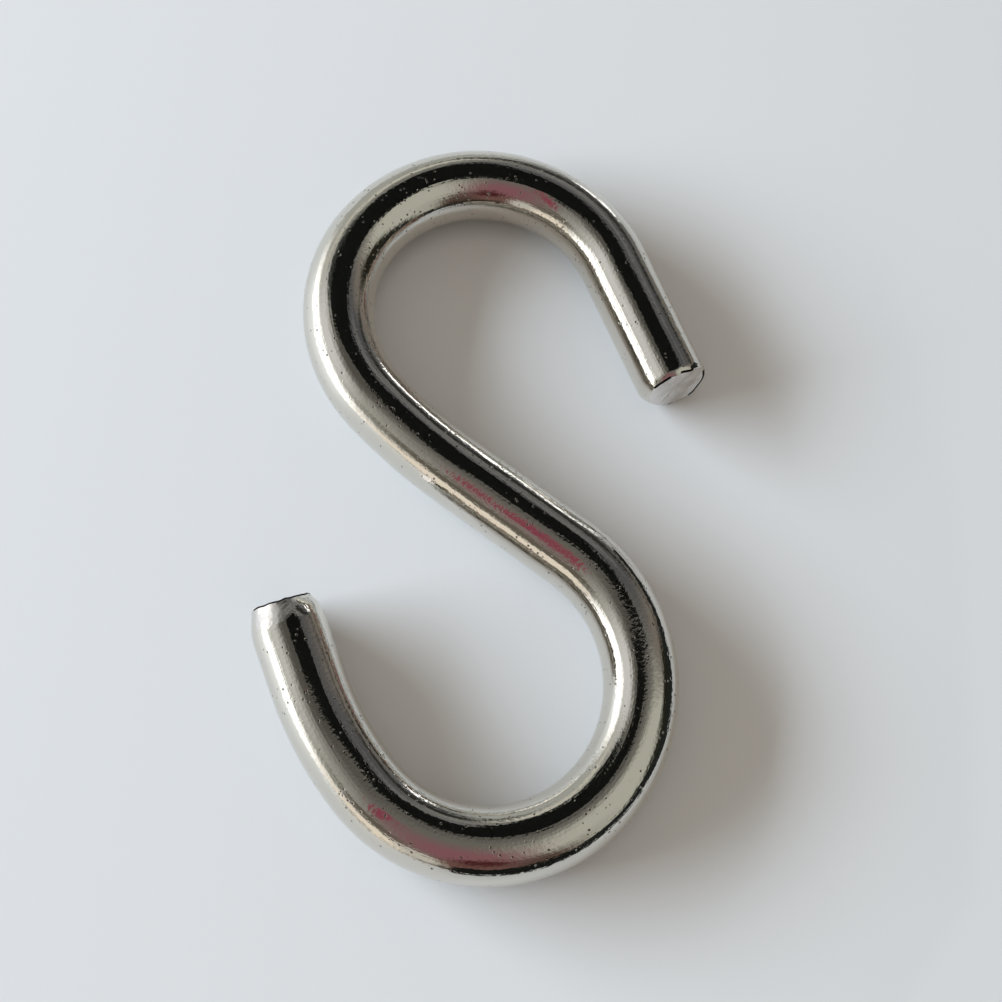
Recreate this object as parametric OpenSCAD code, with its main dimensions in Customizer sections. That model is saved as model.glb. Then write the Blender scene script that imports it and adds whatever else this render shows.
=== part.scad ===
// Steel S hook, bent from one length of round wire and sheared off at both ends.
// It lies flat, with its underside at Z = 0. The load line between the two seats runs along Y.
// The wire is a chain of straight runs and round bends that all turn clockwise away from the spine.

/* [Wire] */
// Diameter of the wire
wire_d = 4.8; // [4:0.1:5.6]

/* [Spine] */
// Straight run between the two hooks of the S
spine_len = 9; // [5:0.5:16]
// Angle between the spine and the load line
spine_lean = 54.4; // [48:0.1:60]

/* [Upper hook] */
// Radius of the gentle bend where the spine runs into the upper hook, to the middle of the wire
upper_ease_r = 38; // [25:0.5:60]
// Turn of the gentle bend
upper_ease_turn = 11; // [4:0.5:18]
// Radius of the bend at the back of the upper hook
upper_back_r = 10.1; // [8.5:0.1:13]
// Turn of the bend at the back
upper_back_turn = 115.3; // [105:0.1:122]
// Radius of the crown, where the upper hook hangs from its rail
upper_crown_r = 9.8; // [8.5:0.1:13]
// Turn of the crown
upper_crown_turn = 85; // [75:0.5:95]
// Straight leg at the open end, to the cut face
upper_leg = 10; // [7:0.5:14]

/* [Lower hook] */
// Radius of the bend at the back of the lower hook
lower_back_r = 10.4; // [8.5:0.1:13]
// Turn of the bend at the back
lower_back_turn = 102.6; // [92:0.1:112]
// Radius of the bowl, where the load hangs
lower_bowl_r = 9.5; // [8.5:0.1:13]
// Turn of the bowl
lower_bowl_turn = 92; // [82:0.5:100]
// Radius of the slack bend between the bowl and the leg
lower_slack_r = 22.6; // [15:0.5:40]
// Turn of the slack bend
lower_slack_turn = 18.4; // [8:0.1:26]
// Straight leg at the open end, to the cut face
lower_leg = 5.7; // [5:0.1:9]

/* [Cut ends] */
// Radius worn onto the rim of the upper cut face
upper_rim_r = 0.25; // [0.1:0.05:0.6]
// How far the shear drew the wire in at the lower cut face
lower_draw_in = 0.6; // [0.2:0.05:1]
// Length of wire that the shear drew in
lower_draw_len = 1.7; // [1:0.1:2.5]

/* [Hidden] */
$fn = 40;

wire_r = wire_d / 2;
// How far a thinner run reaches into a full one, and how much less its radius is
let_in_len = 0.3;
let_in_gap = 0.01;
// Each bend is its radius and its turn, listed from the spine outwards.
upper_bends = [
    [upper_ease_r, upper_ease_turn],
    [upper_back_r, upper_back_turn],
    [upper_crown_r, upper_crown_turn]
];
lower_bends = [
    [lower_back_r, lower_back_turn],
    [lower_bowl_r, lower_bowl_turn],
    [lower_slack_r, lower_slack_turn]
];
upper_heading = 90 + spine_lean;
lower_heading = 270 + spine_lean;

// A point on the wire's middle line is [x, y, heading].
function ahead(p, len) = [p[0] + len * cos(p[2]), p[1] + len * sin(p[2]), p[2]];
function bend_middle(p, r) = [p[0] + r * sin(p[2]), p[1] - r * cos(p[2])];
function past(p, bend) =
    let (m = bend_middle(p, bend[0]), h = p[2] - bend[1])
    [m[0] - bend[0] * sin(h), m[1] + bend[0] * cos(h), h];
function joints(p, bends, i = 0) =
    i == len(bends) ? [p] : concat([p], joints(past(p, bends[i]), bends, i + 1));

upper_joints = joints(ahead([0, 0, upper_heading], spine_len / 2), upper_bends);
lower_joints = joints(ahead([0, 0, lower_heading], spine_len / 2), lower_bends);

// Furthest reach of the wire in one direction, given as an angle.
// A bend reaches furthest where its heading is square to that direction, if it turns through it.
function along(p, direction) = p[0] * cos(direction) + p[1] * sin(direction);
function whole_turn(angle) = angle - 360 * floor(angle / 360);
function turn_to(heading, direction) = whole_turn(heading - (direction - 90));
function bend_reach(p, bend, direction) =
    turn_to(p[2], direction) <= bend[1]
        ? along(bend_middle(p, bend[0]), direction) + bend[0] + wire_r
        : along(p, direction) + wire_r * abs(sin(p[2] - direction));
function leg_reach(p, len, r, direction) =
    along(ahead(p, len), direction) + r * abs(sin(p[2] - direction));
function bends_reach(points, bends, direction) =
    max([for (i = [0 : len(bends) - 1]) bend_reach(points[i], bends[i], direction)]);
upper_leg_start = upper_joints[len(upper_bends)];
lower_leg_start = lower_joints[len(lower_bends)];
function reach(direction) = max(
    bends_reach(upper_joints, upper_bends, direction),
    bends_reach(lower_joints, lower_bends, direction),
    leg_reach(upper_leg_start, upper_leg - upper_rim_r, wire_r - upper_rim_r, direction) + upper_rim_r,
    leg_reach(lower_leg_start, lower_leg - lower_draw_len, wire_r, direction),
    leg_reach(lower_leg_start, lower_leg, wire_r - lower_draw_in, direction)
);
middle_x = (reach(0) - reach(180)) / 2;
middle_y = (reach(90) - reach(270)) / 2;

// In the modules below the wire runs along +Y, and its bends curl towards +X.
// Runs come by turns full and a hair thinner, and a thinner one is let into its full neighbours,
// so that no two skins ever lie in one another.
module straight(len) {
    rotate([-90, 0, 0]) cylinder(h = len, r = wire_r);
}
module bend(r, turn, thinner) {
    let_in = thinner ? let_in_len / r * 180 / PI : 0;
    section_r = thinner ? wire_r - let_in_gap : wire_r;
    translate([r, 0, 0]) rotate([0, 0, 180 - turn - let_in])
        rotate_extrude(angle = turn + 2 * let_in) translate([r, 0]) circle(r = section_r);
}
module past_bend(r, turn) {
    translate([r, 0, 0]) rotate([0, 0, -turn]) translate([-r, 0, 0]) children();
}
// The bends of one hook from number i on, and after them its leg, which is the child
module arm(bends, i = 0) {
    if (i < len(bends)) {
        bend(bends[i][0], bends[i][1], i % 2 == 0);
        past_bend(bends[i][0], bends[i][1]) arm(bends, i + 1) children();
    } else {
        children();
    }
}
// A leg cut square, with its rim worn round
module worn_leg() {
    rotate([-90, 0, 0]) rotate_extrude() difference() {
        square([wire_r, upper_leg]);
        translate([wire_r - upper_rim_r, upper_leg - upper_rim_r]) difference() {
            square(2 * upper_rim_r);
            circle(r = upper_rim_r);
        }
    }
}
// A leg that the shear drew in before it parted
module drawn_leg() {
    rotate([-90, 0, 0]) rotate_extrude() polygon([
        [0, 0],
        [wire_r, 0],
        [wire_r, lower_leg - lower_draw_len],
        [wire_r - lower_draw_in, lower_leg],
        [0, lower_leg]
    ]);
}
module placed(heading) {
    rotate([0, 0, heading - 90]) translate([0, spine_len / 2, 0]) children();
}
module hook() {
    color("silver") translate([-middle_x, -middle_y, wire_r]) {
        rotate([0, 0, upper_heading - 90]) translate([0, -spine_len / 2, 0]) straight(spine_len);
        placed(upper_heading) arm(upper_bends) worn_leg();
        placed(lower_heading) arm(lower_bends) drawn_leg();
    }
}

hook();
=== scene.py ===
"""An S hook of bright nickel-plated steel wire, lying on a pale satin sheet in soft light from the left."""
from math import atan2, cos, degrees, hypot, radians, sin

import bmesh
import bpy
from mathutils import Matrix, Vector, noise


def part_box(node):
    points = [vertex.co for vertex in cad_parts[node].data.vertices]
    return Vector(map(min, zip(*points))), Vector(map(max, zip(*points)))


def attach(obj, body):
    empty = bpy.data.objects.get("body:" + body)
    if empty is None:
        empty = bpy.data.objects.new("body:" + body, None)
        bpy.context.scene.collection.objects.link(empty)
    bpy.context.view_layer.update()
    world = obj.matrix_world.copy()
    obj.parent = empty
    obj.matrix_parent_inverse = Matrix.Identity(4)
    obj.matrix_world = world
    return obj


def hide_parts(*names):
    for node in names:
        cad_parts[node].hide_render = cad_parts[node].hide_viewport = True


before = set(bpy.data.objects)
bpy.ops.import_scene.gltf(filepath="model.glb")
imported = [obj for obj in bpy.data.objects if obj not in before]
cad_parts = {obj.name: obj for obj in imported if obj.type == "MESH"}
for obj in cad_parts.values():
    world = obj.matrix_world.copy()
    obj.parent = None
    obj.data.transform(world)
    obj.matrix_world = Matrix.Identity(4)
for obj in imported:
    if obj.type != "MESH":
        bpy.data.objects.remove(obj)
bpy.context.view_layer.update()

MM = 0.001

# The wire, in millimetres and degrees, as the part's source has it
WIRE_R = 2.4
SPINE_LEN = 9
SPINE_LEAN = 54.4
# Each bend is its radius and its turn, listed from the spine outwards.
UPPER_BENDS = [(38, 11), (10.1, 115.3), (9.8, 85)]
UPPER_LEG = 10
LOWER_BENDS = [(10.4, 102.6), (9.5, 92), (22.6, 18.4)]
LOWER_LEG = 5.7

# How finely the wire is drawn: its sides, and the spacing of its rings, in degrees of a bend and in
# millimetres of a straight run. They lie closer in the last stretch of each leg, which the shear worked.
RING_SIDES = 96
BEND_STEP = 1.5
STRAIGHT_STEP = 0.5
END_LEN = 2.6
END_STEP = 0.08
RIM_R = 0.12
RIM_STEPS = 5
# The rings of a cut face, as shares of its radius
CUT_RINGS = (0.96, 0.9, 0.7, 0.45, 0.2)

# What the shear did to each end, in millimetres, and in degrees round the wire from its right over its top:
# lean: how far the cut leans back at its top
# presses: angle, half width, depth, reach, and how sharply it starts, where 1 is a crease and 2 is round
# burrs: angle, half width, height and width of the lip
# falls: where the face falls away, as angle, half width and depth
# rim_painted_shade and face_edge_painted_shade: where the rim and the edge of the face are painted near black
# as painted shade, as angle and half width
# rubbed: where the plate is rubbed to satin, as angle, half width and reach
UPPER_END = {
    "lean": 0.25,
    "presses": [(-35, 75, 0.42, 0.9, 2), (90, 80, 0.1, 0.4, 2)],
    "burrs": [(205, 45, 0.2, 0.16)],
    "falls": [(175, 70, 0.35)],
    "rim_painted_shade": [(55, 17), (103, 12), (196, 36), (268, 6)],
    "face_edge_painted_shade": [(196, 36), (268, 6)],
    "rubbed": [],
}
LOWER_END = {
    "lean": 0.65,
    "presses": [
        (180, 85, 0.5, 2.4, 2), (0, 85, 0.2, 2.4, 2), (0, 85, 0.25, 1, 2),
        (85, 65, 0.36, 1.9, 1.2), (270, 80, 0.3, 1.5, 2)],
    "burrs": [(150, 60, 0.08, 0.15)],
    "falls": [],
    "rim_painted_shade": [(78, 74)],
    "face_edge_painted_shade": [],
    "rubbed": [(113, 58, 1.9)],
}
# How far back from the cut these reach: a fallen face, a burr for each millimetre of its height, and the
# unevenness of the whole end, which has its own depth and size of lump
FALL_REACH = 0.4
BURR_REACH = 3
UNEVEN_REACH = 0.6
UNEVEN_DEPTH = 0.07
UNEVEN_SIZE = 0.5


# Colours and shader nodes

def linear(colour, strength=1):
    """Turns an sRGB hex value into the linear colour that a shader takes."""
    parts = [int(colour[k:k + 2], 16) / 255 for k in (1, 3, 5)]
    flat = [c / 12.92 if c <= 0.04045 else ((c + 0.055) / 1.055) ** 2.4 for c in parts]
    return (*[c * strength for c in flat], 1)


def add(tree, kind, inputs=None, **settings):
    """Adds a node, sets what it is told to, and fills or links its inputs."""
    node = tree.nodes.new("ShaderNode" + kind)
    for name, value in settings.items():
        setattr(node, name, value)
    for name, value in (inputs or {}).items():
        if isinstance(value, bpy.types.NodeSocket):
            tree.links.new(value, node.inputs[name])
        else:
            node.inputs[name].default_value = value
    return node


def new_material(name):
    """An empty node material with its Principled shader."""
    material = bpy.data.materials.new(name)
    material.use_nodes = True
    tree = material.node_tree
    tree.nodes.clear()
    shader = add(tree, "BsdfPrincipled")
    add(tree, "OutputMaterial", {"Surface": shader.outputs["BSDF"]})
    return material, tree, shader


# The wire

class Sweep:
    """A ring of points that is carried along the wire and leaves its skin behind."""

    def __init__(self, bm, ring, place, heading, sign):
        self.bm = bm
        self.unbent = bm.verts.layers.float_vector["unbent"]
        self.ring = ring
        self.at = Vector(place)
        self.heading = heading
        self.along = 0
        self.sign = sign

    def ahead(self):
        return Vector((cos(radians(self.heading)), sin(radians(self.heading)), 0))

    def aside(self):
        """Towards the middle of every bend, which is the wire's right-hand side."""
        return Vector((sin(radians(self.heading)), -cos(radians(self.heading)), 0))

    def points(self):
        return [item for item in self.ring if isinstance(item, bmesh.types.BMVert)]

    def edges(self):
        return [item for item in self.ring if isinstance(item, bmesh.types.BMEdge)]

    def carry(self, centre, turn, steps, step, passed):
        """Takes the ring on, round a centre or straight ahead, and notes how far each new point has come."""
        known = set(self.bm.verts)
        made = bmesh.ops.spin(
            self.bm, geom=self.ring, cent=centre * MM, axis=(0, 0, 1), dvec=step * MM,
            angle=radians(turn), steps=steps, use_merge=False, use_duplicate=False)
        self.ring = made["geom_last"]
        for point in self.bm.verts:
            if point not in known:
                point[self.unbent].z = self.sign * (self.along + passed(point.co / MM))

    def straight(self, length, spacing):
        steps = max(round(length / spacing), 1)
        start, ahead = self.at.copy(), self.ahead()
        self.carry(start, 0, steps, ahead * (length / steps), lambda place: (place - start).dot(ahead))
        self.at = start + ahead * length
        self.along += length

    def bend(self, radius, turn):
        centre = self.at + self.aside() * radius
        start = self.heading + 90

        def passed(place):
            """How far along the bend a place is. A degree to spare keeps its start from being a full turn."""
            out = place - centre
            return radius * radians((start - degrees(atan2(out.y, out.x)) + 1) % 360 - 1)

        self.carry(centre, -turn, max(round(turn / BEND_STEP), 1), Vector((0, 0, 0)), passed)
        self.at = centre + Matrix.Rotation(-radians(turn), 3, "Z") @ (self.at - centre)
        self.along += radius * radians(turn)
        self.heading -= turn


def sweep_arm(bm, ring, heading, sign, bends, leg):
    """Sweeps one half of the wire, from the middle of the spine to its cut end."""
    sweep = Sweep(bm, ring, (0, 0, WIRE_R), heading, sign)
    sweep.straight(SPINE_LEN / 2, STRAIGHT_STEP)
    for radius, turn in bends:
        sweep.bend(radius, turn)
    sweep.straight(leg - END_LEN, STRAIGHT_STEP)
    sweep.straight(END_LEN, END_STEP)
    return sweep


def close_end(sweep):
    """Rounds the rim of a cut end and closes it flat. Returns the faces of the rim and of the cut."""
    bm = sweep.bm
    centre = sweep.at * MM

    def shrink(radius, forward, reach):
        """Draws a smaller ring inside the last one, whose radius was the reach, and a little ahead of it."""
        sweep.ring = bmesh.ops.extrude_edge_only(bm, edges=sweep.edges())["geom"]
        factor = radius / reach
        for point in sweep.points():
            point.co = centre + (point.co - centre) * factor + sweep.ahead() * forward * MM
            flat = point[sweep.unbent]
            point[sweep.unbent] = Vector((flat.x * factor, flat.y * factor, flat.z + sweep.sign * forward))
        return radius

    reach = WIRE_R
    wire_faces = set(bm.faces)
    for k in range(1, RIM_STEPS + 1):
        angle = radians(90 * k / RIM_STEPS)
        before = radians(90 * (k - 1) / RIM_STEPS)
        reach = shrink(WIRE_R - RIM_R * (1 - cos(angle)), RIM_R * (sin(angle) - sin(before)), reach)
    rim_faces = set(bm.faces) - wire_faces
    for share in CUT_RINGS:
        reach = shrink((WIRE_R - RIM_R) * share, 0, reach)
    bmesh.ops.contextual_create(bm, geom=sweep.edges())
    return rim_faces, set(bm.faces) - wire_faces - rim_faces


def ease(share):
    """A smooth step from 0 to 1."""
    share = min(max(share, 0), 1)
    return share * share * (3 - 2 * share)


def facing(angle, middle, half_width):
    """1 at the middle of what the shear marked, falling smoothly to 0 at its half width."""
    return ease((cos(radians(angle - middle)) - cos(radians(half_width))) / (1 - cos(radians(half_width))))


def round_wire(sweep, place):
    """How far behind the cut a place is, how far out and at what angle, in millimetres and degrees."""
    out = (place - sweep.at * MM) / MM
    side = out.dot(sweep.aside())
    return -out.dot(sweep.ahead()), hypot(side, out.z), degrees(atan2(out.z, side))


def in_end(behind, radius):
    """True for a place in the end stretch of this leg, and not elsewhere on the hook."""
    return -2 * RIM_R < behind < END_LEN and radius < 1.1 * WIRE_R


def press_end(sweep, end):
    """Draws the wire in at its cut end, leans the cut back and pushes up the burr, as the shear did."""
    for point in sweep.bm.verts:
        behind, radius, angle = round_wire(sweep, point.co)
        if not in_end(behind, radius):
            continue
        side, up = radius * cos(radians(angle)), radius * sin(radians(angle))
        inward = sum(
            depth * facing(angle, middle, half_width) * max(1 - max(behind, 0) / reach, 0) ** power
            for middle, half_width, depth, reach, power in end["presses"])
        forward = sum(
            height * facing(angle, middle, half_width) * ease((radius - WIRE_R + 2 * lip) / lip)
            * ease(1 - behind / (BURR_REACH * height)) for middle, half_width, height, lip in end["burrs"])
        forward -= end["lean"] * (1 + up / WIRE_R) / 2 * ease(1 - behind / END_LEN)
        forward -= sum(
            depth * facing(angle, middle, half_width) * (radius / WIRE_R) ** 2 * ease(1 - behind / FALL_REACH)
            for middle, half_width, depth in end["falls"])
        uneven = noise.noise(Vector((side, up, 0)) / UNEVEN_SIZE)
        forward += UNEVEN_DEPTH * uneven * ease(1 - behind / UNEVEN_REACH)
        point.co -= (sweep.aside() * side + Vector((0, 0, up))) * (inward / WIRE_R) * MM
        point.co += sweep.ahead() * forward * MM


def finish_end(sweep, end):
    """Closes a cut end, gives its faces their metals and shapes it."""
    rim_faces, cut_faces = close_end(sweep)
    for face in sweep.bm.faces:
        behind, radius, angle = round_wire(sweep, face.calc_center_median())
        if face in rim_faces:
            painted_shade_spots = end["rim_painted_shade"]
        elif face in cut_faces:
            painted_shade_spots = end["face_edge_painted_shade"] if radius > 0.9 * WIRE_R else []
            face.material_index = 1
        else:
            painted_shade_spots = []
            rubbed = any(
                behind < reach * facing(angle, middle, half_width)
                for middle, half_width, reach in end["rubbed"])
            if rubbed and in_end(behind, radius):
                face.material_index = 1
        # The listed stretches of rim and face edge get the near-black metal: painted shade.
        if any(facing(angle, middle, half_width) > 0 for middle, half_width in painted_shade_spots):
            face.material_index = 2
    press_end(sweep, end)


def build_wire():
    """The whole hook as one closed skin, swept from the middle of its spine both ways."""
    bm = bmesh.new()
    unbent = bm.verts.layers.float_vector.new("unbent")
    heading = 90 + SPINE_LEAN
    stand = Matrix.Rotation(radians(heading), 4, "Z") @ Matrix.Rotation(radians(90), 4, "Y")
    made = bmesh.ops.create_circle(
        bm, cap_ends=False, segments=RING_SIDES, radius=WIRE_R * MM,
        matrix=Matrix.Translation((0, 0, WIRE_R * MM)) @ stand)
    unturned = stand.inverted()
    for point in made["verts"]:
        local = unturned @ (point.co - Vector((0, 0, WIRE_R * MM)))
        point[unbent] = Vector((local.x / MM, local.y / MM, 0))
    ring = list(bm.verts) + list(bm.edges)
    upper = sweep_arm(bm, ring, heading, 1, UPPER_BENDS, UPPER_LEG)
    lower = sweep_arm(bm, ring, heading + 180, -1, LOWER_BENDS, LOWER_LEG)
    finish_end(upper, UPPER_END)
    finish_end(lower, LOWER_END)
    bmesh.ops.recalc_face_normals(bm, faces=bm.faces)
    for face in bm.faces:
        face.smooth = True
    return bm


def seat(bm, low, high):
    """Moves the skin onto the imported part, by its furthest points in +X, +Y and -Y and its lowest one."""
    xs = [v.co.x for v in bm.verts]
    ys = [v.co.y for v in bm.verts]
    zs = [v.co.z for v in bm.verts]
    shift = Vector((high.x - max(xs), (high.y + low.y) / 2 - (max(ys) + min(ys)) / 2, low.z - min(zs)))
    bmesh.ops.translate(bm, verts=bm.verts, vec=shift)


def put(name, bm, *materials):
    """Makes a finished shape an object at the origin, with its materials."""
    mesh = bpy.data.meshes.new(name)
    bm.to_mesh(mesh)
    bm.free()
    for material in materials:
        mesh.materials.append(material)
    piece = bpy.data.objects.new(name, mesh)
    bpy.context.scene.collection.objects.link(piece)
    return piece


def make_hook():
    """The hook's own piece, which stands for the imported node."""
    bm = build_wire()
    seat(bm, *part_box("hook"))
    piece = put("hook_wire", bm, nickel_plate(), sheared_steel(), painted_rim_shade())
    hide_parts("hook")
    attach(piece, "root")


# Materials. Their patterns follow the wire as it was before it was bent, in millimetres.

# The small pits of the plate lie in stretches. A pit is deep within its middle and gone at its edge, both
# given as shares of the spacing.
PIT_SPACING = 0.4
PIT_MIDDLE = 0.08
PIT_EDGE = 0.24
PIT_STRETCH = 1.1


def lumps(tree, place, size, detail=0):
    """Soft noise between 0 and 1 whose lumps are as large as its size in millimetres."""
    return add(tree, "TexNoise", {"Vector": place, "Scale": 1 / size, "Detail": detail}).outputs["Fac"]


def total(tree, heights):
    """Adds up reliefs, each given as a pattern and its height in millimetres."""
    height = 0.0
    for pattern, size in heights:
        height = add(tree, "Math", {0: pattern, 1: size, 2: height}, operation="MULTIPLY_ADD").outputs[0]
    return height


def raise_surface(tree, shader, relief):
    """Gives a shader its relief, in millimetres."""
    bump = add(tree, "Bump", {"Height": relief, "Strength": 1, "Distance": MM})
    tree.links.new(bump.outputs["Normal"], shader.inputs["Normal"])


def pits(tree, place):
    """1 in the middle of each small pit and 0 between them. Some stretches of the wire have none."""
    cells = add(tree, "TexVoronoi", {"Vector": place, "Scale": 1 / PIT_SPACING})
    near = add(tree, "MapRange", {
        "Value": cells.outputs["Distance"], "From Min": PIT_EDGE, "From Max": PIT_MIDDLE},
        interpolation_type="SMOOTHSTEP")
    stretches = add(tree, "MapRange", {
        "Value": lumps(tree, place, PIT_STRETCH), "From Min": 0.5, "From Max": 0.6})
    return add(tree, "Math", {0: near.outputs[0], 1: stretches.outputs[0]}, operation="MULTIPLY").outputs[0]


def nickel_plate():
    """Bright nickel plate on drawn wire: a clear mirror, a little warm."""
    material, tree, shader = new_material("nickel_plate")
    shader.inputs["Metallic"].default_value = 1
    shader.inputs["Roughness"].default_value = 0.08
    place = add(tree, "Attribute", attribute_name="unbent").outputs["Vector"]
    drawn = add(tree, "Mapping", {"Vector": place, "Scale": (1, 1, 0.03)}).outputs["Vector"]
    pitted = pits(tree, place)
    # The fine peel of the plate frays the edges of what it mirrors, the lines that the drawing die left
    # streak it along the wire, the slack surface of bent wire makes it sway, and pits glint in it.
    raise_surface(tree, shader, total(tree, [
        (lumps(tree, place, 0.22, 1), 0.008), (lumps(tree, drawn, 0.13), 0.005),
        (lumps(tree, place, 2.5), 0.022), (pitted, -0.016)]))
    # The pits are painted darker: painted shade in the hollows.
    colour = add(tree, "Mix", {
        "Factor": pitted, "A": linear("#DDDAD2"), "B": linear("#6E6A64")}, data_type="RGBA")
    tree.links.new(colour.outputs[2], shader.inputs["Base Color"])
    return material


def sheared_steel():
    """The cut face, sheared and then plated over: satin, because the shear left it finely rough."""
    material, tree, shader = new_material("sheared_steel")
    shader.inputs["Metallic"].default_value = 1
    shader.inputs["Base Color"].default_value = linear("#E0DDDA")
    shader.inputs["Roughness"].default_value = 0.3
    place = add(tree, "Attribute", attribute_name="unbent").outputs["Vector"]
    raise_surface(tree, shader, total(tree, [
        (lumps(tree, place, 0.3, 2), 0.03), (lumps(tree, place, 1.6), 0.03)]))
    return material


def painted_rim_shade():
    """Painted shade at the cut rim: a dull, nearly black metal, so that the rim shows as a broken dark line.
    """
    material, _, shader = new_material("painted_rim_shade")
    shader.inputs["Metallic"].default_value = 1
    shader.inputs["Base Color"].default_value = linear("#221E1B")
    shader.inputs["Roughness"].default_value = 0.6
    return material


def satin_sheet():
    """Coated paper: pale, with a soft sheen that is brightest towards the light side of the sky."""
    material, _, shader = new_material("satin_sheet")
    shader.inputs["Base Color"].default_value = linear("#E7E8E9")
    shader.inputs["Roughness"].default_value = 0.35
    shader.inputs["Specular IOR Level"].default_value = 0.8
    return material


def black_card():
    """Dyed card with no gloss, so that it stays dark whatever lights it."""
    material, _, shader = new_material("black_card")
    shader.inputs["Base Color"].default_value = linear("#181917")
    shader.inputs["Roughness"].default_value = 0.9
    shader.inputs["Specular IOR Level"].default_value = 0
    return material


# The studio

# The side of the sheet, in metres
FLOOR_SIZE = 8
# The corners of the card over the wire and the line of the low strip beside it, in millimetres
CARD_HEIGHT = 122
CARD_CORNERS = [
    (-36, 3), (-16, 7), (0, 8), (12, 11), (24, 16), (48, 24), (54, 45), (48, 60), (61, 74), (58, 86),
    (46, 93), (30, 99), (22, 114), (20, 132), (14, 150), (0, 156), (-46, 138), (-56, 112), (-69, 92),
    (-69, 60), (-46, 56), (-28, 46), (-31, 30)]
STRIP_HEIGHTS = (1.5, 9)
STRIP_LINE = [(-5, -45), (20, -40), (32, -25), (34, 0), (30, 22)]
# The sky that reflections show, laid over one colour in this order: bearing (0 is +X, 90 is +Y), height
# above the floor, half width and half height in degrees, softness of the edge, colour and strength
SKY_STRENGTH = 0.88
SKY = "#76756F"
SKY_PATCHES = [
    (108, 12, 60, 22, 0.3, "#B6B8B3", 1),
    (172, 29, 44, 29, 0.7, "#F4F4EC", 0.6),
    (165, 36, 20, 14, 0.7, "#FFFFFF", 0.85),
    (174, 8, 36, 15, 0.4, "#FFFFFF", 2.2),
    (230, 11, 24, 9, 0.4, "#FFF4E4", 1.1),
    (226, 30, 16, 8, 0.5, "#6E685D", 1),
    (338, 40, 34, 34, 0.3, "#C9C9BE", 1),
    (316, 20, 12, 18, 0.5, "#BDBDB2", 1),
    (32, 26, 16, 28, 0.4, "#867F78", 1),
    (8, 15, 18, 15, 0.4, "#26251C", 1),
    (350, 9, 20, 10, 0.35, "#2A2A22", 1),
    (290, 16, 20, 22, 0.45, "#5E4D45", 1),
    (264, 46, 20, 24, 0.7, "#93646C", 1),
    (268, 20, 16, 12, 0.5, "#7A5A54", 1),
    (274, 32, 9, 9, 0.6, "#52292A", 1),
    (275, 3, 20, 6, 0.5, "#3A2E28", 1),
    (224, 60, 3, 14, 0.5, "#94485A", 1),
    (248, 14, 9, 11, 0.5, "#D9D6CC", 1),
    (62, 34, 22, 32, 0.35, "#5A5B5E", 1),
    (82, 32, 18, 4, 0.5, "#8C8C88", 1),
    (64, 40, 14, 5, 0.5, "#7C7C7C", 1),
    (66, 21, 32, 5, 0.4, "#34332F", 1),
    (125, 74, 22, 12, 0.6, "#5A5854", 1),
    (140, 66, 14, 9, 0.7, "#5E5C57", 1),
    (112, 27, 26, 4, 0.4, "#DAD8CC", 1),
    (124, 46, 10, 10, 0.4, "#3C3E3B", 1),
    (292, 6, 18, 8, 0.5, "#3A302A", 1),
    (61, 3, 6, 4, 0.4, "#FFFFFF", 2.5),
]
# The even light on everything, and what the camera sees past the floor
EVEN_LIGHT = "#A39C93"
BACKDROP = "#CDCFD1"
# The lamps: name, bearing and height in degrees, distance, width and height in metres, power in watts, colour
LAMPS = [
    ("window", (170, 19.5), 0.8, (0.78, 0.28), 14, "#E6F3FF"),
    ("ceiling", (60, 80), 0.6, (0.25, 0.25), 0.12, "#FFF7ED"),
]
# The camera: what it looks at and how far away it is in millimetres, its bearing and height in degrees,
# and its focal length for a 36 mm sensor
CAMERA_TARGET = (1.086, 0.05, 0)
CAMERA_DISTANCE = 96
CAMERA_FROM = (254.47, 69.65)
LENS = 51.42


def make_floor():
    bm = bmesh.new()
    bmesh.ops.create_grid(bm, x_segments=1, y_segments=1, size=FLOOR_SIZE / 2)
    put("floor", bm, satin_sheet())


def make_cards():
    """Black card over the wire and beside it, seen only in reflections: the wire's dark bands come from it."""
    bm = bmesh.new()
    bm.faces.new([bm.verts.new((x * MM, y * MM, CARD_HEIGHT * MM)) for x, y in CARD_CORNERS])
    low, high = [[bm.verts.new((x * MM, y * MM, z * MM)) for x, y in STRIP_LINE] for z in STRIP_HEIGHTS]
    for k in range(len(STRIP_LINE) - 1):
        bm.faces.new((low[k], low[k + 1], high[k + 1], high[k]))
    cards = put("cards", bm, black_card())
    cards.visible_camera = False
    cards.visible_diffuse = False
    cards.visible_shadow = False


def direction(bearing, height):
    """A unit vector towards a bearing and a height above the floor, in degrees."""
    flat = cos(radians(height))
    return Vector((flat * cos(radians(bearing)), flat * sin(radians(bearing)), sin(radians(height))))


def sky_patch(tree, sky, toward, patch):
    """Lays one soft-edged oval of light or shade over the sky."""
    bearing, height, half_w, half_h, soft, colour, strength = patch
    oval = add(tree, "Mapping", {
        "Vector": toward, "Location": direction(bearing, height),
        "Rotation": (0, -radians(height), radians(bearing)),
        "Scale": (1, sin(radians(half_w)), sin(radians(half_h)))}, vector_type="TEXTURE")
    out = add(tree, "VectorMath", {0: oval.outputs["Vector"]}, operation="LENGTH")
    inside = add(tree, "MapRange", {
        "Value": out.outputs["Value"], "From Min": 1 + soft, "From Max": 1 - soft},
        interpolation_type="SMOOTHSTEP")
    mixed = add(tree, "Mix", {
        "Factor": inside.outputs["Result"], "A": sky, "B": linear(colour, strength)}, data_type="RGBA")
    return mixed.outputs[2]


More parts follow.
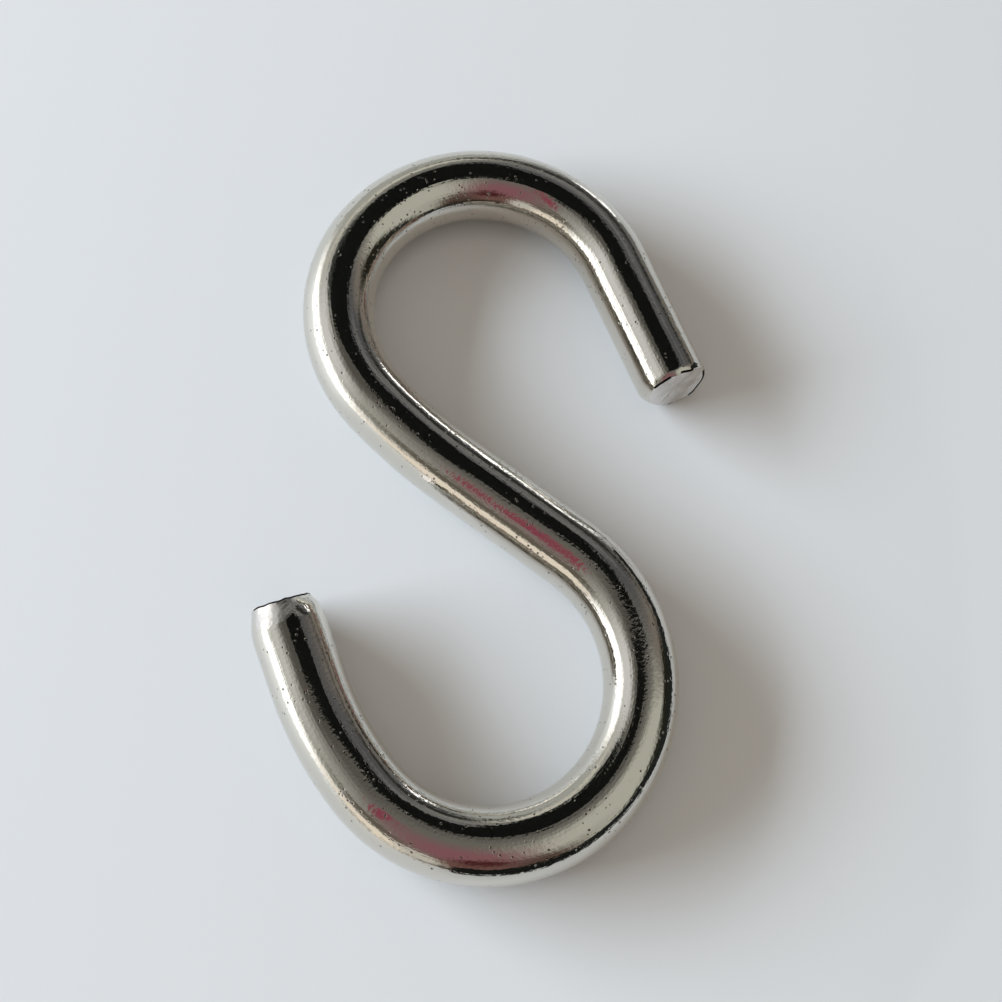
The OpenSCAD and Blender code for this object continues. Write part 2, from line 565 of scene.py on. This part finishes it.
def make_sky():
    """Reflections show the sky, the camera sees a pale backdrop, and an even grey lights everything."""
    world = bpy.data.worlds.new("studio")
    bpy.context.scene.world = world
    world.use_nodes = True
    tree = world.node_tree
    tree.nodes.clear()
    toward = add(tree, "TexCoord").outputs["Generated"]
    sky = linear(SKY)
    for patch in SKY_PATCHES:
        sky = sky_patch(tree, sky, toward, patch)
    path = add(tree, "LightPath")
    mirrored = add(tree, "Background", {"Color": sky, "Strength": SKY_STRENGTH})
    even = add(tree, "Background", {"Color": linear(EVEN_LIGHT)})
    backdrop = add(tree, "Background", {"Color": linear(BACKDROP)})
    lit = add(tree, "MixShader", {
        0: path.outputs["Is Glossy Ray"], 1: even.outputs[0], 2: mirrored.outputs[0]})
    shown = add(tree, "MixShader", {
        0: path.outputs["Is Camera Ray"], 1: lit.outputs[0], 2: backdrop.outputs[0]})
    add(tree, "OutputWorld", {"Surface": shown.outputs[0]})


def make_lamp(name, seen_at, distance, size, power, colour):
    """A soft light that shows in no reflection, because the sky stands for it there."""
    data = bpy.data.lights.new(name, "AREA")
    data.shape = "RECTANGLE"
    data.size, data.size_y = size
    data.energy = power
    data.color = linear(colour)[:3]
    lamp = bpy.data.objects.new(name, data)
    bpy.context.scene.collection.objects.link(lamp)
    lamp.visible_glossy = False
    away = direction(*seen_at)
    lamp.location = away * distance
    lamp.rotation_euler = away.to_track_quat("Z", "Y").to_euler()


def make_camera():
    data = bpy.data.cameras.new("camera")
    data.sensor_width = 36
    data.lens = LENS
    data.clip_start = 0.001
    camera = bpy.data.objects.new("camera", data)
    bpy.context.scene.collection.objects.link(camera)
    back = direction(*CAMERA_FROM)
    camera.location = (Vector(CAMERA_TARGET) + back * CAMERA_DISTANCE) * MM
    right = Vector((0, 1, 0)).cross(back).normalized()
    camera.rotation_euler = Matrix((right, back.cross(right), back)).transposed().to_euler()
    bpy.context.scene.camera = camera


make_hook()
make_floor()
make_cards()
make_sky()
for lamp in LAMPS:
    make_lamp(*lamp)
make_camera()
bpy.context.scene.view_settings.view_transform = "Standard"
